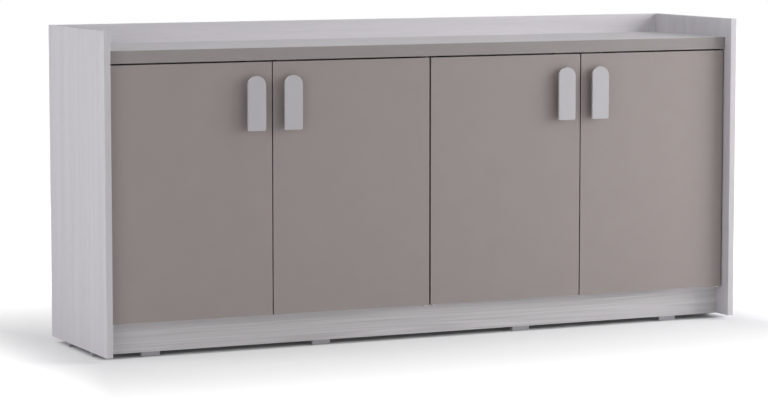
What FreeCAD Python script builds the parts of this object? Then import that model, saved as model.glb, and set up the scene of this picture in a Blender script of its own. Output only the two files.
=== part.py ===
import FreeCAD, Part
import math
import os

# Office cupboard: four pivot-hung doors between proud side panels, with a gallery board behind the top
# Millimetres; X runs left to right, Y front to back, Z up; the origin is on the floor, mid plan

# Overall sizes
overall_width = 1700.0
overall_depth = 395.0
panel_height = 760.0  # side panels, feet not counted
foot_height = 11.0

# Board thicknesses
board = 16.0
door_board = 16.0
top_board = 30.0
back_board = 6.0
edging = 2.0  # strips on the side panels' and the top's front edges
edge_round = 1.0  # rounding along visible board edges

# Places of the fronts and levels
door_recess = 31.0  # side panels' front edge to the door faces
top_overhang = 3.0  # top edging proud of the door faces
gallery_rise = 47.0
plinth_height = 70.0
plinth_setback = 6.5  # plinth face behind the bottom panel's front edge
rear_plinth_inset = 40.0
brace_spacing = 420.0
back_inset = 16.0  # back panels in from the rear edge
groove_depth = 5.0
groove_slack = 0.15  # each side of a back panel in its groove
groove_end = 0.5  # back panel's edge to the groove's floor

# Gaps round the doors
door_side_gap = 3.0
door_pair_gap = 3.0  # between the free edges of a pair
door_centre_gap = 4.5  # between the two hinged edges at the partition
door_top_gap = 4.0
door_swing_clear = 1.0  # left behind the hinged edge as it swings back

# Pivot hinges
pivot_from_edge = 9.0
pivot_from_face = 6.0
pivot_pin = 5.0
pivot_running = 0.05  # radial clearance of a pin in its bush
pivot_reach = 5.0  # pin tip past the bush plate
pivot_tip_room = 1.5
pivot_pocket = 8.0  # bore that clears a pin's tip
plate_width = 9.0
plate_length = 40.0
plate_thick = 2.0
plate_inset = 2.0  # plate end in from the door's hinged edge
plate_fixings = (16.0, 27.0)  # from the pin, along the plate
inlay_slack = 0.1  # round a plate let into a board
peg = 6.0  # press-in pegs under the door plates
peg_length = 10.0
bracket_grip = 45.0  # lower bracket's length under the bottom panel
bracket_fixings = (15.0, 35.0)  # from the bottom panel's front edge
washer = 8.6
washer_thick = 1.0
running_gap = 0.3  # flat moving faces

# Handles
handle_width = 46.0
handle_height = 130.0
handle_plate = 6.0
handle_standoff = 13.0
handle_round = 1.8
handle_corner = 3.0
handle_from_edge = 22.8  # door's free edge to the handle plate
handle_drop = 32.0  # door's top edge to the handle's top
post_width = 20.0
post_height = 90.0
post_drop = 29.0  # handle's top to the post's top
post_round = 3.0
handle_screw = 4.0
handle_screw_spacing = 64.0
handle_screw_bite = 9.0
handle_screw_head = 8.0
handle_screw_head_thick = 2.4

# Magnetic catches
strike_width = 36.0
strike_height = 12.0
strike_thick = 1.2
strike_peg = 4.0
strike_peg_length = 8.0
catch_from_edge = 40.0  # door's free edge to the catch's middle
catch_level = 11.0  # top's underside to the magnet's middle
catch_width = 46.0
catch_height = 18.0
catch_depth = 16.0
catch_fixing = 18.5  # catch's middle to a screw
magnet_width = 24.0
magnet_height = 9.0
magnet_depth = 10.0
magnet_proud = 0.5

# Shelves and their supports
shelf_rise = 290.0  # bottom panel to the shelves' underside
shelf_side_gap = 1.0
shelf_back_gap = 2.0
shelf_setback = 20.0
support_from_end = 50.0  # carcass front, and back panel, to a support
support_reach = 9.0
support_width = 8.0
support_height = 10.0
support_peg = 5.0
support_web = 2.0  # left between opposite holes in the partition
support_pitch = 32.0
support_rows = 5

# Feet
foot_length = 46.0
foot_depth = 14.0
left_foot_from_side = 131.0  # cupboard's side to the middle of an outer foot
right_foot_from_side = 161.0
left_foot_from_middle = 279.0  # middle of the cupboard to the middle of an inner foot
right_foot_from_middle = 266.0
foot_chamfer = 1.0
foot_peg = 8.0
foot_peg_length = 15.0
glide_length = 10.0
glide_width = 10.0
glide_from_end = 115.0  # side panel's front or rear edge to a glide

# Knock-down fittings
fit_slack = 0.1  # round a fastener in its bore
bore_spare = 1.0  # bore past a fastener's end
cam = 15.0
cam_distance = 34.0  # board end to the cam's middle
cam_skin = 3.5  # board left above a cam
cam_sink = 0.3
cam_throat = 7.0
cam_past = 3.5  # throat past the cam's middle
cam_slot_length = 9.0
cam_slot_width = 1.6
cam_slot_depth = 2.0
cam_from_edge = 90.0  # board's front or rear edge to a cam bolt
bolt_head = 6.0
bolt_head_length = 4.0
bolt_neck = 3.5
bolt_neck_length = 4.0
bolt_thread = 5.0
bolt_bore = 8.0
bolt_skin = 6.0  # side panel left beyond a bolt's tip
dowel = 8.0
dowel_length = 30.0
dowel_skin = 5.0  # thin board left beyond a dowel
dowel_spacing = 500.0  # along the long joints
partition_screw = 5.0
partition_screw_neck = 7.0
partition_screw_head = 10.0
partition_screw_head_thick = 4.0
partition_screw_bite = 34.0
partition_screw_from_edge = 110.0
wood_screw = 3.5
wood_screw_head = 7.0
wood_screw_head_thick = 1.7
wood_screw_skin = 3.0  # board left beyond a screw's tip
catch_screw_bite = 14.0

along_x = FreeCAD.Vector(1, 0, 0)
along_y = FreeCAD.Vector(0, 1, 0)
along_z = FreeCAD.Vector(0, 0, 1)

# Faces and levels worked out from the sizes
half_width = overall_width / 2
inner_x = half_width - board
front_y = -overall_depth / 2
back_y = overall_depth / 2
panel_low = foot_height
panel_high = foot_height + panel_height
door_face_y = front_y + door_recess
door_back_y = door_face_y + door_board
pivot_y = door_face_y + pivot_from_face
pivot_behind = door_board - pivot_from_face
door_swing_back = math.hypot(pivot_from_edge, pivot_behind) - pivot_behind
carcass_y = door_back_y + door_swing_back + door_swing_clear
plinth_y = carcass_y + plinth_setback
rear_plinth_y = back_y - rear_plinth_inset
top_y = door_face_y - top_overhang
back_panel_y = back_y - back_inset
back_panel_front_y = back_panel_y - back_board
top_high = panel_high - gallery_rise
top_low = top_high - top_board
bottom_low = panel_low + plinth_height
bottom_high = bottom_low + board
door_low = bottom_low + plate_thick + washer_thick + running_gap
door_high = top_low - door_top_gap
door_width = (2 * inner_x - 2 * door_side_gap - 2 * door_pair_gap - door_centre_gap) / 4
shelf_low = bottom_high + shelf_rise
support_level = shelf_low - support_height / 2
support_hole = (board - support_web) / 2
cam_height = board - cam_skin
dowel_bite = board - dowel_skin
bolt_bite = board - bolt_skin

# Each door: name, left edge, and the side that it hangs on (-1 left, 1 right)
outer_left = -inner_x + door_side_gap
inner_right = door_centre_gap / 2
doors = [
    ("left_outer", outer_left, -1),
    ("left_inner", outer_left + door_width + door_pair_gap, 1),
    ("right_inner", inner_right, -1),
    ("right_outer", inner_right + door_width + door_pair_gap, 1),
]


def point(x, y, z):
    return FreeCAD.Vector(x, y, z)


def block(x_span, y_span, z_span):
    low = point(min(x_span), min(y_span), min(z_span))
    sizes = [abs(span[1] - span[0]) for span in (x_span, y_span, z_span)]
    return Part.makeBox(*sizes, low)


def about(middle, width):
    return (middle - width / 2, middle + width / 2)


def rod(start, along, diameter, length):
    return Part.makeCylinder(diameter / 2, length, start, along)


def fused(first, *others):
    return first.fuse(list(others)).removeSplitter()


def placed(shape, origin, x_dir, z_dir):
    turn = FreeCAD.Rotation(x_dir, z_dir.cross(x_dir), z_dir, "XZY")
    moved = shape.copy()
    moved.Placement = FreeCAD.Placement(origin, turn)
    return moved


def edges_at(shape, axis, level):
    # Edges that lie wholly in one plane square to an axis
    found = []
    for edge in shape.Edges:
        box = edge.BoundBox
        low, high = getattr(box, axis + "Min"), getattr(box, axis + "Max")
        if abs(low - level) < 1e-6 and abs(high - level) < 1e-6:
            found.append(edge)
    return found


# Boards are kept here until every bore and groove in them is known
boards = {}
cuts = {}
pieces = {}


def add_board(name, solid):
    boards[name] = solid
    cuts[name] = []


def drill(name, start, along, diameter, length):
    cuts[name].append(rod(start, along, diameter, length))


def add_carcass_boards():
    sides = (("left_side_panel", -1), ("right_side_panel", 1))
    across = (-inner_x, inner_x)
    strips = []
    for name, side in sides:
        thick = (side * inner_x, side * half_width)
        height = (panel_low, panel_high)
        add_board(name, block(thick, (front_y + edging, back_y), height))
        strip = block(thick, (front_y, front_y + edging), height)
        strips.append(strip.makeFillet(edge_round, edges_at(strip, "Y", front_y)))
    pieces["side_front_edgings"] = strips
    add_board("top_panel", block(across, (top_y + edging, back_y), (top_low, top_high)))
    strip = block(across, (top_y, top_y + edging), (top_low, top_high))
    long_edges = [edge for edge in edges_at(strip, "Y", top_y) if edge.Length > top_board]
    pieces["top_front_edging"] = [strip.makeFillet(edge_round, long_edges)]
    gallery = block(across, (back_y - board, back_y), (top_high, panel_high))
    rim = [edge for edge in edges_at(gallery, "Z", panel_high) if edge.Length > board]
    add_board("gallery_board", gallery.makeFillet(edge_round, rim))
    add_board("bottom_panel", block(across, (carcass_y, back_y), (bottom_low, bottom_high)))
    add_board("centre_partition", block(about(0, board), (carcass_y, back_y), (bottom_high, top_low)))
    add_board("front_plinth", block(across, (plinth_y, plinth_y + board), (panel_low, bottom_low)))
    add_board("rear_plinth", block(across, (rear_plinth_y - board, rear_plinth_y), (panel_low, bottom_low)))
    braces = []
    for x in (-brace_spacing, 0, brace_spacing):
        depth = (plinth_y + board, rear_plinth_y - board)
        braces.append(block(about(x, board), depth, (panel_low, bottom_low)))
    add_board("plinth_braces", Part.makeCompound(braces))


def add_back_panels():
    slot = (back_panel_front_y - groove_slack, back_panel_y + groove_slack)
    tall = (bottom_high - groove_depth, top_low + groove_depth)
    inset = groove_depth - groove_end
    for name, wall, side in (("left", "left_side_panel", -1), ("right", "right_side_panel", 1)):
        outer = side * inner_x
        inner = side * board / 2
        wide = (outer + side * inset, inner - side * inset)
        high = (bottom_high - inset, top_low + inset)
        pieces[name + "_back_panel"] = [block(wide, (back_panel_front_y, back_panel_y), high)]
        cuts[wall].append(block((outer, outer + side * groove_depth), slot, tall))
        cuts["centre_partition"].append(block((inner, inner - side * groove_depth), slot, tall))
        bay = (outer, inner - side * groove_depth)
        cuts["bottom_panel"].append(block(bay, slot, (tall[0], bottom_high)))
        cuts["top_panel"].append(block(bay, slot, (top_low, tall[1])))


def add_shelves():
    supports = []
    depth = (carcass_y + shelf_setback, back_panel_front_y - shelf_back_gap)
    places = (carcass_y + support_from_end, back_panel_front_y - support_from_end)
    for name, wall, side in (("left", "left_side_panel", -1), ("right", "right_side_panel", 1)):
        ends = ((wall, side * inner_x, -side), ("centre_partition", side * board / 2, side))
        wide = (side * (inner_x - shelf_side_gap), side * (board / 2 + shelf_side_gap))
        pieces[name + "_shelf"] = [block(wide, depth, (shelf_low, shelf_low + board))]
        for holder, face, out in ends:
            for y in places:
                stand = block((face, face + out * support_reach), about(y, support_width),
                              (shelf_low - support_height, shelf_low))
                plug = rod(point(face, y, support_level), along_x * -out, support_peg,
                           support_hole - groove_end)
                supports.append(fused(stand, plug))
                for row in range(support_rows):
                    z = support_level + (row - support_rows // 2) * support_pitch
                    drill(holder, point(face, y, z), along_x * -out, support_peg + 2 * fit_slack, support_hole)
    pieces["shelf_supports"] = supports


def foot_block(length, depth, middle, holder):
    # A chamfered block with a peg that is driven up into the board above it
    pad = block(about(middle.x, length), about(middle.y, depth), (0, foot_height))
    pad = pad.makeChamfer(foot_chamfer, edges_at(pad, "Z", 0))
    top = point(middle.x, middle.y, foot_height)
    drill(holder, top, along_z, foot_peg + 2 * fit_slack, foot_peg_length + bore_spare)
    return fused(pad, rod(top, along_z, foot_peg, foot_peg_length))


def add_feet():
    places = (left_foot_from_side - half_width, -left_foot_from_middle,
              right_foot_from_middle, half_width - right_foot_from_side)
    rows = (("front_feet", "front_plinth", plinth_y + board / 2),
            ("rear_feet", "rear_plinth", rear_plinth_y - board / 2))
    for name, holder, y in rows:
        pieces[name] = [foot_block(foot_length, foot_depth, point(x, y, 0), holder) for x in places]
    glides = []
    for holder, side in (("left_side_panel", -1), ("right_side_panel", 1)):
        for y in (front_y + glide_from_end, back_y - glide_from_end):
            middle = point(side * (half_width - board / 2), y, 0)
            glides.append(foot_block(glide_width, glide_length, middle, holder))
    pieces["side_glides"] = glides


def cam_shape():
    face = board / 2 - cam_sink
    body = rod(point(0, 0, face), along_z * -1, cam, cam_height - cam_sink)
    throat = rod(point(-cam_past, 0, 0), along_x, cam_throat, cam)
    slot = block(about(0, cam_slot_length), about(0, cam_slot_width), (face - cam_slot_depth, face))
    return body.cut([throat, slot])


def cam_bolt_shape():
    head = rod(point(-bolt_head_length / 2, 0, 0), along_x, bolt_head, bolt_head_length)
    neck_start = bolt_head_length / 2
    shank_start = neck_start + bolt_neck_length
    neck = rod(point(neck_start, 0, 0), along_x, bolt_neck, bolt_neck_length)
    shank = rod(point(shank_start, 0, 0), along_x, bolt_head, cam_distance - shank_start)
    thread = rod(point(cam_distance, 0, 0), along_x, bolt_thread, bolt_bite)
    return fused(head, neck, shank, thread)


def add_cam(panel, wall, end, side, open_dir):
    # end is on the panel's end face, on the bolt's line; the cam drops in from the face that open_dir leaves
    toward = along_x * side
    middle = end - toward * cam_distance
    mouth = middle + open_dir * (board / 2)
    pieces["cam_locks"].append(placed(cam_shape(), middle, toward, open_dir))
    pieces["cam_bolts"].append(placed(cam_bolt_shape(), middle, toward, open_dir))
    drill(panel, mouth, open_dir * -1, cam + 2 * fit_slack, cam_height + fit_slack)
    drill(panel, end, toward * -1, bolt_bore, cam_distance)
    drill(wall, end, toward, bolt_thread + 2 * fit_slack, bolt_bite + bore_spare)


def add_dowel(thin_board, thick_board, joint, into_thin):
    # joint is on the face where the boards meet; the dowel's short end is in the thin board
    tail = dowel_length - dowel_bite
    bore = dowel + 2 * fit_slack
    pieces["dowels"].append(rod(joint - into_thin * tail, into_thin, dowel, dowel_length))
    drill(thin_board, joint, into_thin, bore, dowel_bite + bore_spare)
    drill(thick_board, joint, into_thin * -1, bore, tail + bore_spare)


def add_fittings():
    for name in ("cam_locks", "cam_bolts", "dowels", "partition_screws"):
        pieces[name] = []
    down = along_z * -1
    middle_y = (carcass_y + back_y) / 2
    plinth_mid = (panel_low + bottom_low) / 2
    gallery_mid = (top_high + panel_high) / 2
    for wall, side in (("left_side_panel", -1), ("right_side_panel", 1)):
        x = side * inner_x
        for panel, low in (("bottom_panel", bottom_low), ("top_panel", top_low)):
            z = low + board / 2
            for y in (carcass_y + cam_from_edge, back_y - cam_from_edge):
                add_cam(panel, wall, point(x, y, z), side, down)
            add_dowel(wall, panel, point(x, middle_y, z), along_x * side)
        add_cam("front_plinth", wall, point(x, plinth_y + board / 2, plinth_mid), side, along_y)
        add_cam("rear_plinth", wall, point(x, rear_plinth_y - board / 2, plinth_mid), side, along_y * -1)
        add_cam("gallery_board", wall, point(x, back_y - board / 2, gallery_mid), side, along_y)
    for x in (-dowel_spacing, 0, dowel_spacing):
        add_dowel("top_panel", "gallery_board", point(x, back_y - board / 2, top_high), down)
    for x in (-dowel_spacing, dowel_spacing):
        add_dowel("bottom_panel", "front_plinth", point(x, plinth_y + board / 2, bottom_low), along_z)
        add_dowel("bottom_panel", "rear_plinth", point(x, rear_plinth_y - board / 2, bottom_low), along_z)
    for x in (-brace_spacing, 0, brace_spacing):
        add_dowel("front_plinth", "plinth_braces", point(x, plinth_y + board, plinth_mid), along_y * -1)
        add_dowel("rear_plinth", "plinth_braces", point(x, rear_plinth_y - board, plinth_mid), along_y)
    reach = board + partition_screw_bite
    for y in (carcass_y + partition_screw_from_edge, back_y - partition_screw_from_edge):
        add_dowel("top_panel", "centre_partition", point(0, y, top_low), along_z)
        start = point(0, y, bottom_low)
        head = rod(start, along_z, partition_screw_head, partition_screw_head_thick)
        neck = rod(start, along_z, partition_screw_neck, board)
        pieces["partition_screws"].append(fused(head, neck, rod(start, along_z, partition_screw, reach)))
        drill("bottom_panel", start, along_z, partition_screw_head + 2 * fit_slack, partition_screw_head_thick)
        drill("bottom_panel", start, along_z, partition_screw_neck + 2 * fit_slack, board)
        pilot = partition_screw + 2 * fit_slack
        drill("centre_partition", point(0, y, bottom_high), along_z, pilot, partition_screw_bite + bore_spare)


def wood_screw_shape(length, slack):
    # Countersunk screw with its head face at the origin, driven along +Z; slack makes the hole for it
    shank = wood_screw / 2 + slack
    head = Part.makeCone(wood_screw_head / 2 + slack, shank, wood_screw_head_thick + slack)
    return fused(head, rod(point(0, 0, 0), along_z, 2 * shank, length + slack))


def countersunk(plate, places):
    # The plate's screw holes, and a screw in each, driven up from below
    holes = [placed(wood_screw_shape(board, fit_slack), place, along_x, along_z) for place in places]
    for place in places:
        screw = wood_screw_shape(board - wood_screw_skin, 0)
        pieces["pivot_screws"].append(placed(screw, place, along_x, along_z))
    return plate.cut(holes)


def handle_outline(cx, top, y):
    # Square foot with small round corners, straight sides and a half-round top
    half = handle_width / 2
    foot = top - handle_height
    spring = top - half
    corner = handle_corner
    cut = corner * (1 - math.sqrt(0.5))
    runs = [
        ((cx - half + corner, foot), (cx + half - corner, foot)),
        ((cx + half - corner, foot), (cx + half - cut, foot + cut), (cx + half, foot + corner)),
        ((cx + half, foot + corner), (cx + half, spring)),
        ((cx + half, spring), (cx, top), (cx - half, spring)),
        ((cx - half, spring), (cx - half, foot + corner)),
        ((cx - half, foot + corner), (cx - half + cut, foot + cut), (cx - half + corner, foot)),
    ]
    edges = []
    for run in runs:
        stops = [point(x, y, z) for x, z in run]
        curve = Part.Arc(*stops) if len(stops) == 3 else Part.LineSegment(*stops)
        edges.append(curve.toShape())
    return Part.Face(Part.Wire(edges))


def add_handle(name, door, cx):
    top = door_high - handle_drop
    plate_y = door_face_y - handle_standoff
    plate = handle_outline(cx, top, plate_y).extrude(along_y * -handle_plate)
    plate = plate.makeFillet(handle_round, edges_at(plate, "Y", plate_y - handle_plate))
    pieces[name + "_handle_plate"] = [plate]
    post_high = top - post_drop
    post = block(about(cx, post_width), (plate_y, door_face_y), (post_high - post_height, post_high))
    upright = [edge for edge in post.Edges if abs(edge.Length - handle_standoff) < 1e-6]
    post = post.makeFillet(post_round, upright)
    middle = post_high - post_height / 2
    screws = []
    bores = []
    bore = handle_screw + 2 * fit_slack
    for z in (middle - handle_screw_spacing / 2, middle + handle_screw_spacing / 2):
        back = point(cx, door_back_y, z)
        inward = along_y * -1
        head = rod(back, along_y, handle_screw_head, handle_screw_head_thick)
        screws.append(fused(head, rod(back, inward, handle_screw, door_board + handle_screw_bite)))
        door.append(rod(back, inward, bore, door_board))
        bores.append(rod(point(cx, door_face_y, z), inward, bore, handle_screw_bite + bore_spare))
    pieces[name + "_handle_post"] = [post.cut(bores)]
    pieces[name + "_handle_screws"] = screws


def add_catch(name, door, cx):
    level = top_low - catch_level
    strike_y = (door_back_y, door_back_y + strike_thick)
    strike = block(about(cx, strike_width), strike_y, about(level, strike_height))
    back = point(cx, door_back_y, level)
    pieces[name + "_strike_plate"] = [fused(strike, rod(back, along_y * -1, strike_peg, strike_peg_length))]
    door.append(rod(back, along_y * -1, strike_peg + 2 * fit_slack, strike_peg_length + bore_spare))
    magnet_y = strike_y[1] + running_gap
    case_y = magnet_y + magnet_proud
    case = block(about(cx, catch_width), (case_y, case_y + catch_depth), (top_low - catch_height, top_low))
    slack = 2 * fit_slack
    pocket = block(about(cx, magnet_width + slack), (case_y, magnet_y + magnet_depth),
                   about(level, magnet_height + slack))
    holes = [pocket]
    for x in (cx - catch_fixing, cx + catch_fixing):
        foot = point(x, case_y + catch_depth / 2, top_low - catch_height)
        head = rod(foot, along_z * -1, wood_screw_head, wood_screw_head_thick)
        shank = rod(foot, along_z, wood_screw, catch_height + catch_screw_bite)
        pieces["catch_screws"].append(fused(head, shank))
        holes.append(rod(foot, along_z, wood_screw + slack, catch_height))
        start = point(foot.x, foot.y, top_low)
        drill("top_panel", start, along_z, wood_screw + slack, catch_screw_bite + bore_spare)
    pieces["catch_housings"].append(case.cut(holes))
    magnet = block(about(cx, magnet_width), (magnet_y, magnet_y + magnet_depth), about(level, magnet_height))
    pieces["catch_magnets"].append(magnet)


def add_pivots(name, door, hinge_edge, inward):
    axis_x = hinge_edge + inward * pivot_from_edge
    start = hinge_edge + inward * plate_inset
    wide = (start, start + inward * plate_length)
    slack_wide = (start - inward * inlay_slack, start + inward * (plate_length + inlay_slack))
    deep = about(pivot_y, plate_width)
    slack_deep = about(pivot_y, plate_width + 2 * inlay_slack)
    fixings = [axis_x + inward * place for place in plate_fixings]
    pin_length = plate_thick + pivot_reach
    room = pivot_reach + pivot_tip_room
    bush_bore = pivot_pin + 2 * pivot_running

    # Upper end: the pin is on the door's plate and turns in a socket plate under the top
    seat = door_high - plate_thick
    plate = block(wide, deep, (seat, door_high))
    pin = rod(point(axis_x, pivot_y, seat), along_z, pivot_pin, plate_thick + door_top_gap + pin_length)
    pegs = [rod(point(x, pivot_y, seat), along_z * -1, peg, peg_length) for x in fixings]
    pieces[name + "_upper_pivot"] = [fused(plate, pin, *pegs)]
    door.append(block(slack_wide, slack_deep, (seat, door_high)))
    for x in fixings:
        door.append(rod(point(x, pivot_y, seat), along_z * -1, peg + 2 * fit_slack, peg_length + bore_spare))
    plate = block(wide, deep, (top_low, top_low + plate_thick))
    plate = plate.cut(rod(point(axis_x, pivot_y, top_low), along_z, bush_bore, plate_thick))
    pieces["upper_pivot_sockets"].append(countersunk(plate, [point(x, pivot_y, top_low) for x in fixings]))
    cuts["top_panel"].append(block(slack_wide, slack_deep, (top_low, top_low + plate_thick)))
    drill("top_panel", point(axis_x, pivot_y, top_low), along_z, pivot_pocket, plate_thick + room)
    for x in fixings:
        drill("top_panel", point(x, pivot_y, top_low), along_z, wood_screw + 2 * fit_slack, board)

    # Lower end: the pin is on a bracket under the bottom panel and turns in the door's bush plate
    rear_y = carcass_y + bracket_grip
    level = (bottom_low, bottom_low + plate_thick)
    bar = block(about(axis_x, plate_width), (pivot_y, rear_y), level)
    foot = point(axis_x, pivot_y, bottom_low)
    nose = rod(foot, along_z, plate_width, plate_thick)
    bar = countersunk(fused(bar, nose), [point(axis_x, carcass_y + y, bottom_low) for y in bracket_fixings])
    pin = rod(foot, along_z, pivot_pin, door_low - bottom_low + pin_length)
    pieces["lower_pivot_brackets"].append(fused(bar, pin))
    bed = (carcass_y, rear_y + inlay_slack)
    cuts["bottom_panel"].append(block(about(axis_x, plate_width + 2 * inlay_slack), bed, level))
    for y in bracket_fixings:
        start = point(axis_x, carcass_y + y, bottom_low)
        drill("bottom_panel", start, along_z, wood_screw + 2 * fit_slack, board - wood_screw_skin + bore_spare)
    seat = point(axis_x, pivot_y, level[1])
    ring = rod(seat, along_z, washer, washer_thick)
    pieces["thrust_washers"].append(ring.cut(rod(seat, along_z, pivot_pin + 2 * fit_slack, washer_thick)))
    plate = block(wide, deep, (door_low, door_low + plate_thick))
    plate = plate.cut(rod(point(axis_x, pivot_y, door_low), along_z, bush_bore, plate_thick))
    seat = door_low + plate_thick
    pegs = [rod(point(x, pivot_y, seat), along_z, peg, peg_length) for x in fixings]
    pieces[name + "_lower_bush"] = [fused(plate, *pegs)]
    door.append(block(slack_wide, slack_deep, (door_low, seat)))
    door.append(rod(point(axis_x, pivot_y, seat), along_z, pivot_pocket, room))
    for x in fixings:
        door.append(rod(point(x, pivot_y, seat), along_z, peg + 2 * fit_slack, peg_length + bore_spare))


def add_doors():
    for name in ("upper_pivot_sockets", "lower_pivot_brackets", "thrust_washers", "pivot_screws",
                 "catch_housings", "catch_magnets", "catch_screws"):
        pieces[name] = []
    for name, x_low, hung_on in doors:
        x_high = x_low + door_width
        hinge_edge, free_edge = (x_low, x_high) if hung_on < 0 else (x_high, x_low)
        inward = -hung_on
        panel = block((x_low, x_high), (door_face_y, door_back_y), (door_low, door_high))
        rims = edges_at(panel, "Y", door_face_y) + edges_at(panel, "Y", door_back_y)
        panel = panel.makeFillet(edge_round, rims)
        door_cuts = []
        add_pivots(name, door_cuts, hinge_edge, inward)
        add_handle(name, door_cuts, free_edge - inward * (handle_from_edge + handle_width / 2))
        add_catch(name, door_cuts, free_edge - inward * catch_from_edge)
        pieces[name + "_door"] = [panel.cut(door_cuts)]


add_carcass_boards()
add_back_panels()
add_shelves()
add_feet()
add_fittings()
add_doors()
for name, solid in boards.items():
    pieces[name] = solid.cut(cuts[name]).Solids

os.makedirs("parts", exist_ok=True)
for name in sorted(pieces):
    solids = pieces[name]
    shape = solids[0] if len(solids) == 1 else Part.makeCompound(solids)
    shape.exportStep("parts/" + name + ".step")
    sound = all(solid.isValid() and len(solid.Solids) == 1 for solid in solids)
    print(name, len(solids), "solids,", round(sum(solid.Volume for solid in solids) / 1000, 2), "cm3,", sound)
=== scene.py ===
import math
import bpy
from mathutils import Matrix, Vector


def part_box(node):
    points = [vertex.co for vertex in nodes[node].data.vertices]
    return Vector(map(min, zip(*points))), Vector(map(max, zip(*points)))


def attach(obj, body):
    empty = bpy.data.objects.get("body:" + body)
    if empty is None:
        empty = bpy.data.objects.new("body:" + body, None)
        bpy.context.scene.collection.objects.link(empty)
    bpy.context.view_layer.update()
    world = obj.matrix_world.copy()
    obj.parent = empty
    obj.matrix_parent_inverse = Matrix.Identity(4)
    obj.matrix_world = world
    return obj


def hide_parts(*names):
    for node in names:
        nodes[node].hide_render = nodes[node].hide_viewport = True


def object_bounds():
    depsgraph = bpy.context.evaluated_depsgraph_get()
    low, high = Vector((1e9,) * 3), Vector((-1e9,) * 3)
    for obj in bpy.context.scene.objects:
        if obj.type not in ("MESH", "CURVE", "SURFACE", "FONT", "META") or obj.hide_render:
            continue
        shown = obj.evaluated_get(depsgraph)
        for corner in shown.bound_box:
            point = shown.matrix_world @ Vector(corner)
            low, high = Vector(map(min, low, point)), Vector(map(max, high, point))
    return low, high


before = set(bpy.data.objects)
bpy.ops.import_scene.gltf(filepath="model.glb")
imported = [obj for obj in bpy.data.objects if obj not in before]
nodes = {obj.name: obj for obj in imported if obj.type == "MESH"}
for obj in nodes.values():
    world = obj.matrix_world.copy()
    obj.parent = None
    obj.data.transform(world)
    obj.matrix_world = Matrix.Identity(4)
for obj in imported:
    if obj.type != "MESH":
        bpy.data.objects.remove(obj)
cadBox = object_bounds()
doorNames = ("left_outer", "left_inner", "right_inner", "right_outer")
mm = 0.001  # the frame is in metres, most sizes below are in millimetres
print("frame loaded:", len(nodes), "pieces")


def addNode(tree, kind, settings=None, inputs=None):
    node = tree.nodes.new(kind)
    for name, value in (settings or {}).items():
        setattr(node, name, value)
    for key, value in (inputs or {}).items():
        if isinstance(value, bpy.types.NodeSocket):
            tree.links.new(value, node.inputs[key])
        else:
            node.inputs[key].default_value = value
    return node


def hexColour(code):
    # sRGB to linear
    parts = [int(code[i:i + 2], 16) / 255 for i in (1, 3, 5)]
    linear = [p / 12.92 if p <= 0.04045 else ((p + 0.055) / 1.055) ** 2.4 for p in parts]
    return (*linear, 1.0)


def bareMaterial(name):
    material = bpy.data.materials.new(name)
    material.use_nodes = True
    material.node_tree.nodes.clear()
    return material, material.node_tree


def newMaterial(name):
    material, tree = bareMaterial(name)
    shader = addNode(tree, "ShaderNodeBsdfPrincipled")
    addNode(tree, "ShaderNodeOutputMaterial", inputs={"Surface": shader.outputs["BSDF"]})
    return material, tree, shader


def dress(material, *names):
    for name in names:
        nodes[name].material_slots[0].material = material


def addPiece(name, mesh, body, slot, *replaced):
    piece = bpy.data.objects.new(name, mesh)
    bpy.context.scene.collection.objects.link(piece)
    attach(piece, body)
    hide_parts(*replaced)


# What all finishes share
finishBuild = {
    "flatNormal": 0.99,  # a normal's largest part: above this a face is flat,
    "roundNormal": 0.9,  # and below this it is a rounded edge
    "boardNormal": 0.4,  # a normal's part through the board: above this it is the board's face,
    "edgeNormal": 0.1,  # and below this its lipping
    "bumpStrength": 0.6,
    "noiseSpan": (0.3, 0.7),  # most of a noise lies between these
    "gritDetail": 3.0,  # finer layers in the grit of fittings
}


def arrisHighlightMask(tree):
    # 1 on rounded edges, 0 on flat faces: a painted highlight goes there
    facing = addNode(tree, "ShaderNodeTexCoord").outputs["Normal"]
    size = addNode(tree, "ShaderNodeVectorMath", {"operation": "ABSOLUTE"}, {0: facing})
    x, y, z = addNode(tree, "ShaderNodeSeparateXYZ", inputs={0: size.outputs[0]}).outputs
    larger = addNode(tree, "ShaderNodeMath", {"operation": "MAXIMUM"}, {0: x, 1: y})
    largest = addNode(tree, "ShaderNodeMath", {"operation": "MAXIMUM"}, {0: larger.outputs[0], 1: z})
    return addNode(tree, "ShaderNodeMapRange", inputs={
        "Value": largest.outputs[0], "From Min": finishBuild["flatNormal"],
        "From Max": finishBuild["roundNormal"]}).outputs[0]


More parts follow.
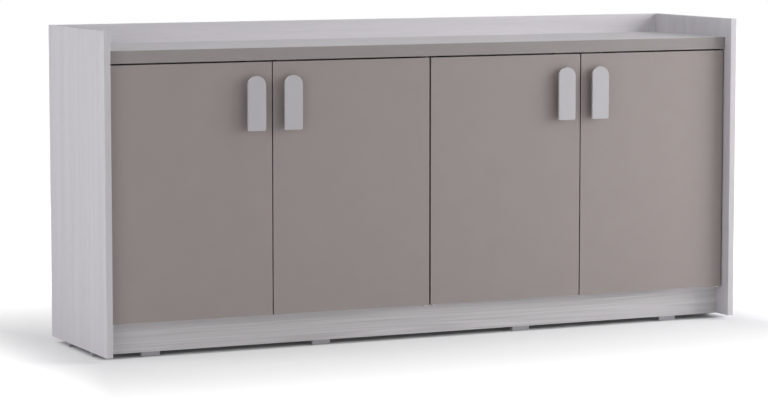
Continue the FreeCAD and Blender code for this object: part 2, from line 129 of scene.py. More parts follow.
def paintShader(tree, shader, look, tone, sheenTone, height):
    # Tint, painted highlight on arrises, lipping with painted gap shade where there is some, sheen and relief
    tint = addNode(tree, "ShaderNodeMix", {"data_type": "RGBA"}, {
        0: tone, 6: hexColour(look["shade"]), 7: hexColour(look["pale"])})
    # Rounded edges take the arris colour, a painted highlight
    colour = addNode(tree, "ShaderNodeMix", {"data_type": "RGBA"}, {
        0: arrisHighlightMask(tree), 6: tint.outputs[2], 7: hexColour(look.get("arrisHighlight", look["pale"]))})
    if "lippingShade" in look:
        # Boards that face front and back: every other face is the lipping, tinted darker as painted shade for
        # the gaps between doors
        facing = addNode(tree, "ShaderNodeTexCoord").outputs["Normal"]
        through = addNode(tree, "ShaderNodeSeparateXYZ", inputs={0: facing}).outputs["Y"]
        across = addNode(tree, "ShaderNodeMath", {"operation": "ABSOLUTE"}, {0: through})
        isEdge = addNode(tree, "ShaderNodeMapRange", inputs={
            "Value": across.outputs[0], "From Min": finishBuild["boardNormal"],
            "From Max": finishBuild["edgeNormal"]})
        colour = addNode(tree, "ShaderNodeMix", {"data_type": "RGBA"}, {
            0: isEdge.outputs[0], 6: colour.outputs[2], 7: hexColour(look["lippingShade"])})
    sheen = addNode(tree, "ShaderNodeMapRange", inputs={
        "Value": sheenTone, "To Min": look["roughness"] - look["roughnessSpread"],
        "To Max": look["roughness"] + look["roughnessSpread"]})
    relief = addNode(tree, "ShaderNodeBump", inputs={
        "Height": height, "Strength": finishBuild["bumpStrength"], "Distance": look["relief"] * mm})
    tree.links.new(colour.outputs[2], shader.inputs["Base Color"])
    tree.links.new(sheen.outputs[0], shader.inputs["Roughness"])
    tree.links.new(relief.outputs[0], shader.inputs["Normal"])


# Wood-print melamine on chipboard: decor paper pressed under a matt plate, so a soft even sheen,
# pale streaks along the grain and hardly any depth
ashPrint = {
    "pale": "#d0cdd3",
    "shade": "#c3c0c6",
    # painted highlight along rounded edges
    "arrisHighlight": "#dddae0",
    "bandWidth": 26,  # tone changes between growth bands
    "bandLength": 800,
    "ringWidth": 60,  # size of the flame figures, whose contours make the grain lines
    "ringLength": 520,
    "ringCount": 14,
    "ringWaver": 1.2,  # how far the fibres push the grain lines about
    "plainWidth": 55,  # patches where the figure fades out
    "plainLength": 420,
    "fibreWidth": 2.6,  # real fibres are finer; drawn this wide so that they show
    "fibreLength": 110,
    "bandTone": 0.25,
    "ringTone": 0.15,
    "fibreTone": 0.2,
    "grainBreak": 0.55,  # how much the finer noise breaks up each layer
    "relief": 0.03,  # depth of the pressed pores
    "roughness": 0.64,
    "roughnessSpread": 0.08,
}
# Detail of each layer's noise, and an offset so that no two layers agree
grainLayers = {
    "band": (2.0, (3.1, 7.7, 1.3)),
    "fibre": (3.0, (5.9, 9.3, 4.7)),
    "ring": (1.0, (11.4, 2.6, 8.2)),
    "plain": (1.0, (1.7, 4.4, 6.1)),
}
alongX, alongZ = 0, 2  # which way the grain runs


def ashMelamine(name, grainAxis, look):
    material, tree, shader = newMaterial(name)
    place = addNode(tree, "ShaderNodeTexCoord").outputs["Object"]
    lowest, highest = finishBuild["noiseSpan"]

    def streaks(layer, low, high):
        detail, shift = grainLayers[layer]
        scale = [1 / (look[layer + "Width"] * mm)] * 3
        scale[grainAxis] = 1 / (look[layer + "Length"] * mm)
        drawn = addNode(tree, "ShaderNodeMapping", inputs={
            "Vector": place, "Scale": scale, "Location": shift})
        texture = addNode(tree, "ShaderNodeTexNoise", inputs={
            "Vector": drawn.outputs[0], "Scale": 1.0, "Detail": detail, "Roughness": look["grainBreak"]})
        spread = addNode(tree, "ShaderNodeMapRange", inputs={
            "Value": texture.outputs["Fac"], "From Min": lowest, "From Max": highest,
            "To Min": low, "To Max": high})
        return spread.outputs[0]

    bands = streaks("band", 0.5 - look["bandTone"], 0.5 + look["bandTone"])
    fibres = streaks("fibre", 0.0, 1.0)
    figure = streaks("ring", 0.0, look["ringCount"] * math.pi)
    fade = streaks("plain", 0.0, look["ringTone"])
    wave = addNode(tree, "ShaderNodeMath", {"operation": "MULTIPLY_ADD"}, {
        0: fibres, 1: look["ringWaver"], 2: figure})
    rings = addNode(tree, "ShaderNodeMath", {"operation": "SINE"}, {0: wave.outputs[0]})
    grain = addNode(tree, "ShaderNodeMath", {"operation": "MULTIPLY_ADD"}, {
        0: rings.outputs[0], 1: fade, 2: bands})
    fleck = addNode(tree, "ShaderNodeMath", {"operation": "MULTIPLY_ADD"}, {
        0: fibres, 1: 2 * look["fibreTone"], 2: -look["fibreTone"]})
    tone = addNode(tree, "ShaderNodeMath", {"operation": "ADD", "use_clamp": True}, {
        0: grain.outputs[0], 1: fleck.outputs[0]})
    paintShader(tree, shader, look, tone.outputs[0], fibres, fibres)
    return material


uprightAsh = ashMelamine("AshPrintMelamineUpright", alongZ, ashPrint)
# ABS edging strip with the same print, a little greyer than the boards, which paints shade on the panels'
# front edges
edgingAshShaded = ashMelamine("AshPrintAbsEdgingShaded", alongZ, ashPrint | {
    "pale": "#cdcace", "shade": "#c0bdc1", "arrisHighlight": "#d6d3d7"})
# Grain laid level on the top; the gallery gets a paler copy, painted light
levelAsh = ashMelamine("AshPrintMelamineLevel", alongX, ashPrint | {
    "pale": "#cecbcf", "shade": "#c1bec2"})
# Painted light: the gallery's tint is paler than the top's, as if more light fell on it
galleryAshLit = ashMelamine("AshPrintMelamineGalleryLit", alongX, ashPrint | {
    "pale": "#ebe8ed", "shade": "#dedbe0"})
# The plinth's print has long straight streaks and more contrast
plinthAsh = ashMelamine("AshPrintMelaminePlinth", alongX, ashPrint | {
    "pale": "#d1ced0", "shade": "#b8b5b7", "bandTone": 0.15, "ringTone": 0.3, "fibreTone": 0.35,
    "ringWidth": 40, "ringLength": 1600, "ringCount": 7, "fibreLength": 300})
dress(uprightAsh, "left_side_panel", "right_side_panel")
dress(edgingAshShaded, "side_front_edgings")
dress(levelAsh, "top_panel")
dress(galleryAshLit, "gallery_board")
dress(plinthAsh, "front_plinth", "rear_plinth")
print("wood-print boards dressed")

# Plain melamine: flat tint under a finely pitted matt plate, which breaks up reflections into a soft haze
taupeBoard = {
    # the arris colour is a painted highlight along rounded edges
    "pale": "#978e8b", "shade": "#938a87", "arrisHighlight": "#b3aba8",
    "pitSize": 1.4, "pitDetail": 2.0, "pitTone": 0.4, "cloudSize": 60, "cloudDetail": 3.0,
    "relief": 0.02, "roughness": 0.62, "roughnessSpread": 0.06,
}
innerBoard = {
    "pale": "#cfcdd1", "shade": "#cac8cc",
    "pitSize": 1.4, "pitDetail": 2.0, "pitTone": 0.4, "cloudSize": 80, "cloudDetail": 3.0,
    "relief": 0.02, "roughness": 0.5, "roughnessSpread": 0.06,
}


def plainMelamine(name, look):
    material, tree, shader = newMaterial(name)
    place = addNode(tree, "ShaderNodeTexCoord").outputs["Object"]
    lowest, highest = finishBuild["noiseSpan"]
    pits, clouds = [addNode(tree, "ShaderNodeTexNoise", inputs={
        "Vector": place, "Scale": 1 / (look[layer + "Size"] * mm),
        "Detail": look[layer + "Detail"]}).outputs["Fac"] for layer in ("pit", "cloud")]
    mixed = addNode(tree, "ShaderNodeMath", {"operation": "MULTIPLY_ADD"}, {
        0: pits, 1: look["pitTone"], 2: clouds})
    tone = addNode(tree, "ShaderNodeMapRange", inputs={
        "Value": mixed.outputs[0], "From Min": lowest, "From Max": highest + look["pitTone"]})
    paintShader(tree, shader, look, tone.outputs[0], pits, pits)
    return material


# The strip on the top's front edge, a shade greyer than the doors
taupe = plainMelamine("TaupeMelaminePressedMatt", taupeBoard | {"pale": "#928c8a", "shade": "#8e8886"})
# ABS lipping glued round the doors, tinted deeper than their faces as painted shade in the gaps between them
taupeLippedShaded = plainMelamine("TaupeMelamineAbsLippedShaded", taupeBoard | {"lippingShade": "#726a68"})
innerGrey = plainMelamine("GreyMelaminePressedMatt", innerBoard)
dress(taupe, "top_front_edging")
dress(taupeLippedShaded, *[door + "_door" for door in doorNames])
dress(innerGrey, "bottom_panel", "centre_partition", "left_back_panel", "right_back_panel", "left_shelf",
      "right_shelf", "plinth_braces")
print("plain boards dressed")


# Sprayed, moulded, plated, sintered and turned finishes share one build: a grit in tint, sheen and relief
def grittyFinish(name, look):
    material, tree, shader = newMaterial(name)
    place = addNode(tree, "ShaderNodeTexCoord").outputs["Object"]
    grit = addNode(tree, "ShaderNodeTexNoise", inputs={
        "Vector": place, "Scale": 1 / (look["grit"] * mm),
        "Detail": finishBuild["gritDetail"]}).outputs["Fac"]
    shader.inputs["Metallic"].default_value = look.get("metallic", 0.0)
    paintShader(tree, shader, look, grit, grit, grit)
    return material


# Satin lacquer sprayed on a zinc casting: faint orange peel, and a near-white painted highlight on the
# rounded edges
satinLacquer = grittyFinish("ZincCastingSatinLacquer", {
    "pale": "#b9b6ba", "shade": "#b4b1b5", "arrisHighlight": "#fbfafc",
    "grit": 2.2, "relief": 0.02, "roughness": 0.3, "roughnessSpread": 0.05})
# Powder coat in the plinth's tint: even, with a coarser peel
greyCoat = grittyFinish("SteelPowderCoatPaleGrey", {
    "pale": "#cfccce", "shade": "#c7c4c6",
    "grit": 1.0, "relief": 0.04, "roughness": 0.5, "roughnessSpread": 0.06})
# Zinc plate on pressed steel: cool, a little cloudy and dull
zincPlate = grittyFinish("SteelZincPlatedDull", {
    "pale": "#c4c6c9", "shade": "#a7aaae", "metallic": 1.0,
    "grit": 3.0, "relief": 0.01, "roughness": 0.38, "roughnessSpread": 0.1})
# Phosphated steel, for the pivots above the doors: dark grey with a dull crystal grain
darkSteel = grittyFinish("SteelPhosphatedDark", {
    "pale": "#4f4b49", "shade": "#433f3e",
    "grit": 1.0, "relief": 0.02, "roughness": 0.6, "roughnessSpread": 0.08})
# Moulded polypropylene: dull, with a spark-eroded grain
footPlastic = grittyFinish("PolypropyleneMouldedGrey", {
    "pale": "#a09ea2", "shade": "#949296",
    "grit": 1.2, "relief": 0.05, "roughness": 0.55, "roughnessSpread": 0.08})
# Moulded ABS for the catches: dark brown-grey, a painted shade so that nothing shines through the gap above
# the doors
catchPlastic = grittyFinish("AbsMouldedDarkGrey", {
    "pale": "#4c4846", "shade": "#44403f",
    "grit": 1.6, "relief": 0.02, "roughness": 0.45, "roughnessSpread": 0.06})
# Natural nylon, milky, for the washers under the doors
paleNylon = grittyFinish("NylonMouldedNatural", {
    "pale": "#c8c5c4", "shade": "#bfbcbb",
    "grit": 1.6, "relief": 0.02, "roughness": 0.45, "roughnessSpread": 0.06})
# Sintered ferrite: near black, ground face with a fine sparkle
ferrite = grittyFinish("FerriteSinteredGround", {
    "pale": "#3a3a3d", "shade": "#2a2a2c",
    "grit": 0.7, "relief": 0.02, "roughness": 0.48, "roughnessSpread": 0.12})
# Turned beech: warm, with short flecks
beech = grittyFinish("BeechTurnedRaw", {
    "pale": "#d9b58c", "shade": "#c39a6d",
    "grit": 1.1, "relief": 0.06, "roughness": 0.62, "roughnessSpread": 0.08})
dress(greyCoat, "lower_pivot_brackets")
dress(zincPlate, "cam_locks", "cam_bolts", "shelf_supports")
dress(darkSteel, "upper_pivot_sockets")
dress(footPlastic, "front_feet", "rear_feet", "side_glides")
dress(paleNylon, "thrust_washers")
dress(catchPlastic, "catch_housings")
dress(ferrite, "catch_magnets")
dress(beech, "dowels")
for door in doorNames:
    dress(darkSteel, door + "_upper_pivot")
    dress(zincPlate, door + "_lower_bush", door + "_strike_plate")
print("fittings dressed")


def newTree(name, inputs):
    tree = bpy.data.node_groups.new(name, "GeometryNodeTree")
    tree.interface.new_socket("Geometry", in_out="INPUT", socket_type="NodeSocketGeometry")
    for label, kind in inputs.items():
        tree.interface.new_socket(label, in_out="INPUT", socket_type="NodeSocket" + kind)
    tree.interface.new_socket("Geometry", in_out="OUTPUT", socket_type="NodeSocketGeometry")
    return tree, addNode(tree, "NodeGroupInput").outputs


def closeTree(tree, geometry, material):
    real = addNode(tree, "GeometryNodeRealizeInstances", inputs={0: geometry})
    painted = addNode(tree, "GeometryNodeSetMaterial", inputs={0: real.outputs[0], "Material": material})
    addNode(tree, "NodeGroupOutput", inputs={0: painted.outputs[0]})


def grownMesh(name, points, tree, sizes, finish=()):
    # Runs a node tree on loose points and returns the result as a plain mesh
    seed = bpy.data.meshes.new(name + "Seed")
    seed.from_pydata(points, [], [])
    holder = bpy.data.objects.new(name + "Seed", seed)
    bpy.context.scene.collection.objects.link(holder)
    modifier = holder.modifiers.new("Shape", "NODES")
    modifier.node_group = tree
    for item in tree.interface.items_tree:
        if item.in_out == "INPUT" and item.name in sizes:
            modifier[item.identifier] = sizes[item.name]
    for kind, settings in finish:
        extra = holder.modifiers.new(kind, kind)
        for key, value in settings.items():
            setattr(extra, key, value)
    graph = bpy.context.evaluated_depsgraph_get()
    mesh = bpy.data.meshes.new_from_object(holder.evaluated_get(graph), depsgraph=graph)
    mesh.name = name
    bpy.data.objects.remove(holder)
    return mesh


# Pull handles: an arch-topped plate that stands off the door on a short post
pullHandle = {
    "footCorner": 4.5,
    "archShare": 0.4999,  # arch radius against the width, a hair under half so that the arcs stay apart
    "archSteps": 28,
    "frontRound": 4.0,
    "backShare": 0.3,  # how much of the front's rounding the other edges get
    "roundSteps": 5,
    "postCorner": 3.0,
    "postSteps": 6,
    "weld": 0.01,  # corners this close are one
}


def archPullTree():
    tree, given = newTree("ArchPull", {
        "Width": "Float", "Height": "Float", "Thickness": "Float", "Foot Corner": "Float",
        "Post Width": "Float", "Post Height": "Float", "Post Depth": "Float", "Post Offset": "Float",
        "Post Corner": "Float", "Back Share": "Float"})

    def slab(width, height, radius, steps, depth):
        outline = addNode(tree, "GeometryNodeCurvePrimitiveQuadrilateral", {"mode": "RECTANGLE"}, {
            "Width": width, "Height": height})
        rounded = addNode(tree, "GeometryNodeFilletCurve", {"mode": "POLY"}, {
            "Curve": outline.outputs[0], "Count": steps, "Radius": radius, "Limit Radius": True})
        sheet = addNode(tree, "GeometryNodeFillCurve", {"mode": "NGONS"}, {"Curve": rounded.outputs[0]})
        lifted = addNode(tree, "ShaderNodeCombineXYZ", inputs={"Z": depth})
        raised = addNode(tree, "GeometryNodeExtrudeMesh", {"mode": "FACES"}, {
            "Mesh": sheet.outputs[0], "Offset": lifted.outputs[0], "Offset Scale": 1.0, "Individual": False})
        under = addNode(tree, "GeometryNodeFlipFaces", inputs={"Mesh": sheet.outputs[0]})
        both = addNode(tree, "GeometryNodeJoinGeometry", inputs={0: raised.outputs["Mesh"]})
        tree.links.new(under.outputs[0], both.inputs[0])
        return addNode(tree, "GeometryNodeMergeByDistance", inputs={
            "Geometry": both.outputs[0], "Distance": pullHandle["weld"] * mm}).outputs[0]

    position = addNode(tree, "GeometryNodeInputPosition").outputs[0]
    spot = addNode(tree, "ShaderNodeSeparateXYZ", inputs={0: position}).outputs
    isTop = addNode(tree, "FunctionNodeCompare", {"operation": "GREATER_THAN"}, {0: spot["Y"], 1: 0.0})
    arch = addNode(tree, "ShaderNodeMath", {"operation": "MULTIPLY"}, {
        0: given["Width"], 1: pullHandle["archShare"]})
    radius = addNode(tree, "GeometryNodeSwitch", {"input_type": "FLOAT"}, {
        "Switch": isTop.outputs[0], "False": given["Foot Corner"], "True": arch.outputs[0]})
    plate = slab(given["Width"], given["Height"], radius.outputs[0], pullHandle["archSteps"],
                 given["Thickness"])
    onFront = addNode(tree, "FunctionNodeCompare", {"operation": "GREATER_THAN"}, {0: spot["Z"], 1: 0.0})
    rounding = addNode(tree, "GeometryNodeSwitch", {"input_type": "FLOAT"}, {
        "Switch": onFront.outputs[0], "False": given["Back Share"], "True": 1.0})
    rimmed = addNode(tree, "GeometryNodeStoreNamedAttribute", {"data_type": "FLOAT", "domain": "EDGE"}, {
        "Geometry": plate, "Name": "bevel_weight_edge", "Value": rounding.outputs[0]})
    post = slab(given["Post Width"], given["Post Height"], given["Post Corner"], pullHandle["postSteps"],
                given["Post Depth"])
    low = addNode(tree, "ShaderNodeMath", {"operation": "MULTIPLY"}, {0: given["Post Depth"], 1: -1.0})
    setBack = addNode(tree, "ShaderNodeCombineXYZ", inputs={"Y": given["Post Offset"], "Z": low.outputs[0]})
    placed = addNode(tree, "GeometryNodeTransform", inputs={
        "Geometry": post, "Translation": setBack.outputs[0]})
    whole = addNode(tree, "GeometryNodeJoinGeometry", inputs={0: rimmed.outputs[0]})
    tree.links.new(placed.outputs[0], whole.inputs[0])
    upright = addNode(tree, "GeometryNodeTransform", inputs={
        "Geometry": whole.outputs[0], "Rotation": (math.pi / 2, 0.0, 0.0)})
    onPoints = addNode(tree, "GeometryNodeInstanceOnPoints", inputs={
        "Points": given["Geometry"], "Instance": upright.outputs[0]})
    closeTree(tree, onPoints.outputs[0], satinLacquer)
    return tree


archPull = archPullTree()
for door in doorNames:
    plateLow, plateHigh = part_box(door + "_handle_plate")
    postLow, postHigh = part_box(door + "_handle_post")
    plateSize, postSize = plateHigh - plateLow, postHigh - postLow
    middle = (plateLow + plateHigh) / 2
    seat = (middle.x, plateHigh.y, middle.z)  # middle of the plate's back face
    mesh = grownMesh(door + "_pull", [seat], archPull, {
        "Width": plateSize.x, "Height": plateSize.z, "Thickness": plateSize.y,
        "Foot Corner": pullHandle["footCorner"] * mm, "Post Width": postSize.x, "Post Height": postSize.z,
        "Post Depth": postSize.y, "Post Offset": (postLow.z + postHigh.z) / 2 - middle.z,
        "Post Corner": pullHandle["postCorner"] * mm, "Back Share": pullHandle["backShare"],
    }, [
        ("BEVEL", {"width": pullHandle["frontRound"] * mm, "segments": pullHandle["roundSteps"],
                   "limit_method": "WEIGHT"}),
        ("WEIGHTED_NORMAL", {"keep_sharp": True}),
    ])
    addPiece(door + "_pull", mesh, door + "_door", "handle_metal",
             door + "_handle_plate", door + "_handle_post")
print("pull handles made")

cornerStep = 0.001  # corners of a CAD mesh that round to the same step, in millimetres, are one


def solidBoxes(name):
    # Lowest and highest corner of each separate solid in a CAD node
    mesh = nodes[name].data
    spot = {}
    owner = list(range(len(mesh.vertices)))

    def root(i):
        while owner[i] != i:
            owner[i] = owner[owner[i]]
            i = owner[i]
        return i

    for vertex in mesh.vertices:
        key = tuple(round(c / (cornerStep * mm)) for c in vertex.co)
        owner[vertex.index] = spot.setdefault(key, vertex.index)
    for face in mesh.polygons:
        for corner in face.vertices[1:]:
            owner[root(corner)] = root(face.vertices[0])
    groups = {}
    for vertex in mesh.vertices:
        groups.setdefault(root(vertex.index), []).append(vertex.co)
    boxes = []
    for corners in groups.values():
        low = Vector([min(c[i] for c in corners) for i in range(3)])
        high = Vector([max(c[i] for c in corners) for i in range(3)])
        boxes.append((low, high))
    return boxes


# Screws with a cross recess; the head's face is at the point and looks along the aim
crossScrew = {
    "recessShare": 0.55,  # cross length against the head
    "recessWidth": 1.1,
    "recessDepth": 1.5,
    "sides": 24,
}


def crossScrewTree():
    tree, given = newTree("CrossScrew", {
        "Aim": "Vector", "Face": "Float", "Seat": "Float", "Head": "Float", "Shank": "Float",
        "Length": "Float"})

    def radius(socket):
        return addNode(tree, "ShaderNodeMath", {"operation": "MULTIPLY"}, {0: socket, 1: 0.5}).outputs[0]

    def lowered(geometry, depth):
        down = addNode(tree, "ShaderNodeMath", {"operation": "MULTIPLY"}, {0: depth, 1: -1.0})
        by = addNode(tree, "ShaderNodeCombineXYZ", inputs={"Z": down.outputs[0]})
        return addNode(tree, "GeometryNodeTransform", inputs={
            "Geometry": geometry, "Translation": by.outputs[0]}).outputs[0]

    head = addNode(tree, "GeometryNodeMeshCone", inputs={
        "Vertices": crossScrew["sides"], "Radius Top": radius(given["Face"]),
        "Radius Bottom": radius(given["Seat"]), "Depth": given["Head"]})
    span = addNode(tree, "ShaderNodeMath", {"operation": "MULTIPLY"}, {
        0: given["Face"], 1: crossScrew["recessShare"]}).outputs[0]
    sink = 2 * crossScrew["recessDepth"] * mm  # the bars are centred on the face, so half of this goes in
    slotWidth = crossScrew["recessWidth"] * mm
    cross = addNode(tree, "GeometryNodeJoinGeometry")
    for across, upward in ((span, slotWidth), (slotWidth, span)):
        size = addNode(tree, "ShaderNodeCombineXYZ", inputs={"X": across, "Y": upward, "Z": sink})
        bar = addNode(tree, "GeometryNodeMeshCube", inputs={"Size": size.outputs[0]})
        tree.links.new(bar.outputs[0], cross.inputs[0])
    recessed = addNode(tree, "GeometryNodeMeshBoolean", {"operation": "DIFFERENCE", "solver": "EXACT"}, {
        "Mesh 1": lowered(head.outputs[0], given["Head"]), "Mesh 2": cross.outputs[0],
        "Self Intersection": True})
    rod = addNode(tree, "GeometryNodeMeshCylinder", inputs={
        "Vertices": crossScrew["sides"], "Radius": radius(given["Shank"]), "Depth": given["Length"]})
    middle = addNode(tree, "ShaderNodeMath", {"operation": "MULTIPLY_ADD"}, {
        0: given["Length"], 1: 0.5, 2: given["Head"]})
    screw = addNode(tree, "GeometryNodeJoinGeometry", inputs={0: recessed.outputs[0]})
    tree.links.new(lowered(rod.outputs[0], middle.outputs[0]), screw.inputs[0])
    turned = addNode(tree, "FunctionNodeAlignRotationToVector", {"axis": "Z"}, {"Vector": given["Aim"]})
    onPoints = addNode(tree, "GeometryNodeInstanceOnPoints", inputs={
        "Points": given["Geometry"], "Instance": screw.outputs[0], "Rotation": turned.outputs[0]})
    closeTree(tree, onPoints.outputs[0], zincPlate)
    return tree


crossScrewShape = crossScrewTree()


def addScrews(name, node, body, aim, look):
    aim = Vector(aim)
    along = max(range(3), key=lambda i: abs(aim[i]))
    points = []
    for low, high in solidBoxes(node):
        face = (low + high) / 2
        face[along] = high[along] if aim[along] > 0 else low[along]
        points.append(face)
        length = high[along] - low[along] - look["head"] * mm  # all screws of a node have one length
    mesh = grownMesh(name, points, crossScrewShape, {
        "Aim": aim, "Face": look["face"] * mm, "Seat": look["seat"] * mm, "Head": look["head"] * mm,
        "Shank": look["shank"] * mm, "Length": length})
    addPiece(name, mesh, body, "zinc_steel", node)


# Widths of the head's face and seat, its height, and the shank's width
panHead = {"face": 5.6, "seat": 8.0, "head": 2.4, "shank": 4.0}
catchHead = {"face": 5.0, "seat": 7.0, "head": 1.7, "shank": 3.5}
sunkHead = {"face": 7.0, "seat": 3.5, "head": 1.7, "shank": 3.5}
flatHead = {"face": 10.0, "seat": 10.0, "head": 4.0, "shank": 5.0}
backward, downward = (0, 1, 0), (0, 0, -1)
for door in doorNames:
    addScrews(door + "_pull_screws", door + "_handle_screws", door + "_door", backward, panHead)
addScrews("catch_cross_screws", "catch_screws", "carcass", downward, catchHead)
addScrews("pivot_cross_screws", "pivot_screws", "carcass", downward, sunkHead)
addScrews("partition_cross_screws", "partition_screws", "carcass", downward, flatHead)
print("screws made")


def eyeRays(tree):
    # 1 for what is seen, straight or in gloss and glass, and 0 for light that falls on the cupboard
    rays = addNode(tree, "ShaderNodeLightPath").outputs
    seen = addNode(tree, "ShaderNodeMath", {"operation": "ADD", "use_clamp": True}, {
        0: rays["Is Camera Ray"], 1: rays["Is Glossy Ray"]})
    return addNode(tree, "ShaderNodeMath", {"operation": "ADD", "use_clamp": True}, {
        0: seen.outputs[0], 1: rays["Is Transmission Ray"]}).outputs[0]


# Pale studio floor: it takes the object's shadow from the lamps, and its glow carries a painted shadow, dim
# beside and under the cupboard and turning to plain white away from it
studioFloor = {
    "paint": "#f4f4f6",  # as it lights the cupboard
    "shown": "#d2d2d4",  # as the eye sees it, before the glow
    "reach": 14.0,  # metres from the middle to each side; the lengths below are in metres too
    "nearGlow": 0.285,  # share of white that the eye sees beside the plinth, before any light: a painted shadow round the base
    "fade": (0.36, 1.25),  # the painted shadow fades to plain white over these, sideways and to the front
    "underShare": 0.08,  # how much of the glow is left right under the cupboard: painted shade there
    "edge": 0.02,  # width of the rim where the glow comes back
    "underLeft": 0.014,  # the painted shade under the cupboard starts this far in from the left,
    "underRear": 0.04,  # and this far in from the back
}


def addFloor():
    material, tree = bareMaterial("StudioFloorPaintedMatt")
    place = addNode(tree, "ShaderNodeTexCoord").outputs["Object"]
    low, high = cadBox
    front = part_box("front_plinth")[0].y

    def beyond(left, right, near, far):
        # How far a point of the floor lies outside a rectangle, sideways and in depth
        middle = ((left + right) / 2, (near + far) / 2, 0.0)
        half = ((right - left) / 2, (far - near) / 2, 0.0)
        fromMiddle = addNode(tree, "ShaderNodeVectorMath", {"operation": "SUBTRACT"}, {0: place, 1: middle})
        outward = addNode(tree, "ShaderNodeVectorMath", {"operation": "ABSOLUTE"}, {
            0: fromMiddle.outputs[0]})
        past = addNode(tree, "ShaderNodeVectorMath", {"operation": "SUBTRACT"}, {
            0: outward.outputs[0], 1: half})
        return addNode(tree, "ShaderNodeVectorMath", {"operation": "MAXIMUM"}, {
            0: past.outputs[0], 1: (0.0, 0.0, 0.0)}).outputs[0]

    # Painted shadow: the glow rises from nearGlow beside the cupboard to full white over the fade
    share = addNode(tree, "ShaderNodeVectorMath", {"operation": "DIVIDE"}, {
        0: beyond(low.x, high.x, front, high.y), 1: (*studioFloor["fade"], 1.0)})
    shares = addNode(tree, "ShaderNodeSeparateXYZ", inputs={0: share.outputs[0]}).outputs
    further = addNode(tree, "ShaderNodeMath", {"operation": "MAXIMUM"}, {0: shares["X"], 1: shares["Y"]})
    rise = addNode(tree, "ShaderNodeMapRange", {"interpolation_type": "SMOOTHSTEP"}, {
        "Value": further.outputs[0], "To Min": studioFloor["nearGlow"]})
    # Painted shade under the cupboard: inside its plan the glow drops to underShare
    out = addNode(tree, "ShaderNodeVectorMath", {"operation": "LENGTH"}, {
        0: beyond(low.x + studioFloor["underLeft"], high.x, front, high.y - studioFloor["underRear"])})
    edge = addNode(tree, "ShaderNodeMapRange", {"interpolation_type": "SMOOTHSTEP"}, {
        "Value": out.outputs["Value"], "From Max": studioFloor["edge"], "To Min": studioFloor["underShare"]})
    level = addNode(tree, "ShaderNodeMath", {"operation": "MULTIPLY"}, {
        0: rise.outputs[0], 1: edge.outputs[0]})
    seen = eyeRays(tree)
    glow = addNode(tree, "ShaderNodeMath", {"operation": "MULTIPLY"}, {0: level.outputs[0], 1: seen})
    white = addNode(tree, "ShaderNodeEmission", inputs={"Strength": glow.outputs[0]})
    colour = addNode(tree, "ShaderNodeMix", {"data_type": "RGBA"}, {
        0: seen, 6: hexColour(studioFloor["paint"]), 7: hexColour(studioFloor["shown"])})
    paint = addNode(tree, "ShaderNodeBsdfDiffuse", inputs={"Color": colour.outputs[2]})
    both = addNode(tree, "ShaderNodeAddShader", inputs={0: white.outputs[0], 1: paint.outputs[0]})
    addNode(tree, "ShaderNodeOutputMaterial", inputs={"Surface": both.outputs[0]})
    reach = studioFloor["reach"]
    corners = [(x * reach, y * reach, 0) for x, y in ((-1, -1), (1, -1), (1, 1), (-1, 1))]
    mesh = bpy.data.meshes.new("studioFloor")
    mesh.from_pydata(corners, [], [(0, 1, 2, 3)])
    mesh.materials.append(material)
    floor = bpy.data.objects.new("studioFloor", mesh)
    bpy.context.scene.collection.objects.link(floor)


addFloor()

# Studio light: an even surround that looks white to the eye, and soft boxes all round, strongest at the right
surround = {"air": "#ffffff", "level": 0.1}  # the level is what falls on the cupboard
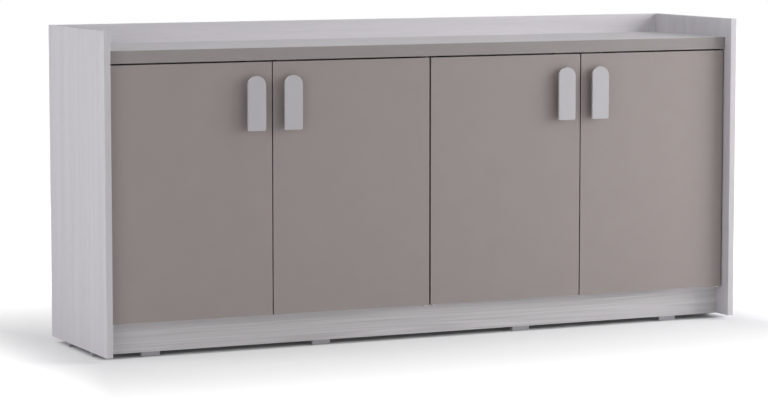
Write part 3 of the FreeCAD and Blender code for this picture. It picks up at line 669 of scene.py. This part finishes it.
# Degrees round from the front and up, metres from the cupboard's middle, metres wide and high
softBoxes = {
    "keyRight": {"turn": 62, "rise": 15, "distance": 3.2, "size": (1.5, 2.2), "watts": 50.5},
    "sideRight": {"turn": 80, "rise": 18, "distance": 3.2, "size": (1.5, 2.2), "watts": 20},
    "frontRight": {"turn": 30, "rise": 10, "distance": 3.2, "size": (1.5, 1.8), "watts": 11.6},
    "frontLeft": {"turn": -55, "rise": 10, "distance": 3.2, "size": (1.5, 1.8), "watts": 21},
    "sideLeft": {"turn": -95, "rise": 18, "distance": 5.0, "size": (2.3, 3.4), "watts": 63.5},
    "overhead": {"turn": 60, "rise": 84, "distance": 3.2, "size": (1.5, 1.5), "watts": 24},
    "rear": {"turn": 180, "rise": 4, "distance": 3.2, "size": (2.4, 0.8), "watts": 45},
}


def addLights():
    world = bpy.data.worlds.new("studioSurround")
    bpy.context.scene.world = world
    world.use_nodes = True
    tree = world.node_tree
    tree.nodes.clear()
    level = addNode(tree, "ShaderNodeMapRange", inputs={
        "Value": eyeRays(tree), "To Min": surround["level"], "To Max": 1.0})
    air = addNode(tree, "ShaderNodeBackground", inputs={
        "Color": hexColour(surround["air"]), "Strength": level.outputs[0]})
    addNode(tree, "ShaderNodeOutputWorld", inputs={"Surface": air.outputs[0]})
    centre = (cadBox[0] + cadBox[1]) / 2
    for name, box in softBoxes.items():
        turn, rise = math.radians(box["turn"]), math.radians(box["rise"])
        away = Vector((math.sin(turn) * math.cos(rise), -math.cos(turn) * math.cos(rise), math.sin(rise)))
        lamp = bpy.data.lights.new(name, "AREA")
        lamp.shape = "RECTANGLE"
        lamp.size, lamp.size_y = box["size"]
        lamp.energy = box["watts"]
        holder = bpy.data.objects.new(name, lamp)
        holder.location = centre + away * box["distance"]
        holder.rotation_euler = (-away).to_track_quat("-Z", "Y").to_euler()
        bpy.context.scene.collection.objects.link(holder)


addLights()

# Camera fitted to the cupboard's edges in the photograph, with no shift and no roll
viewpoint = {
    "place": (-3.122, -6.586, 1.074),  # metres
    "yaw": 25.03,  # degrees to the right of straight on
    "pitch": -5.855,  # degrees, looking down
    "lens": 137.64,  # millimetres, for the frame width below
    "frameWidth": 36.0,
    "farthest": 100.0,  # metres
}
lens = bpy.data.cameras.new("studioCamera")
lens.lens = viewpoint["lens"]
lens.sensor_width = viewpoint["frameWidth"]
lens.clip_end = viewpoint["farthest"]
camera = bpy.data.objects.new("studioCamera", lens)
camera.location = viewpoint["place"]
camera.rotation_euler = (math.radians(90 + viewpoint["pitch"]), 0.0, -math.radians(viewpoint["yaw"]))
bpy.context.scene.collection.objects.link(camera)
bpy.context.scene.camera = camera
bpy.context.scene.view_settings.view_transform = "Standard"
print("studio set")
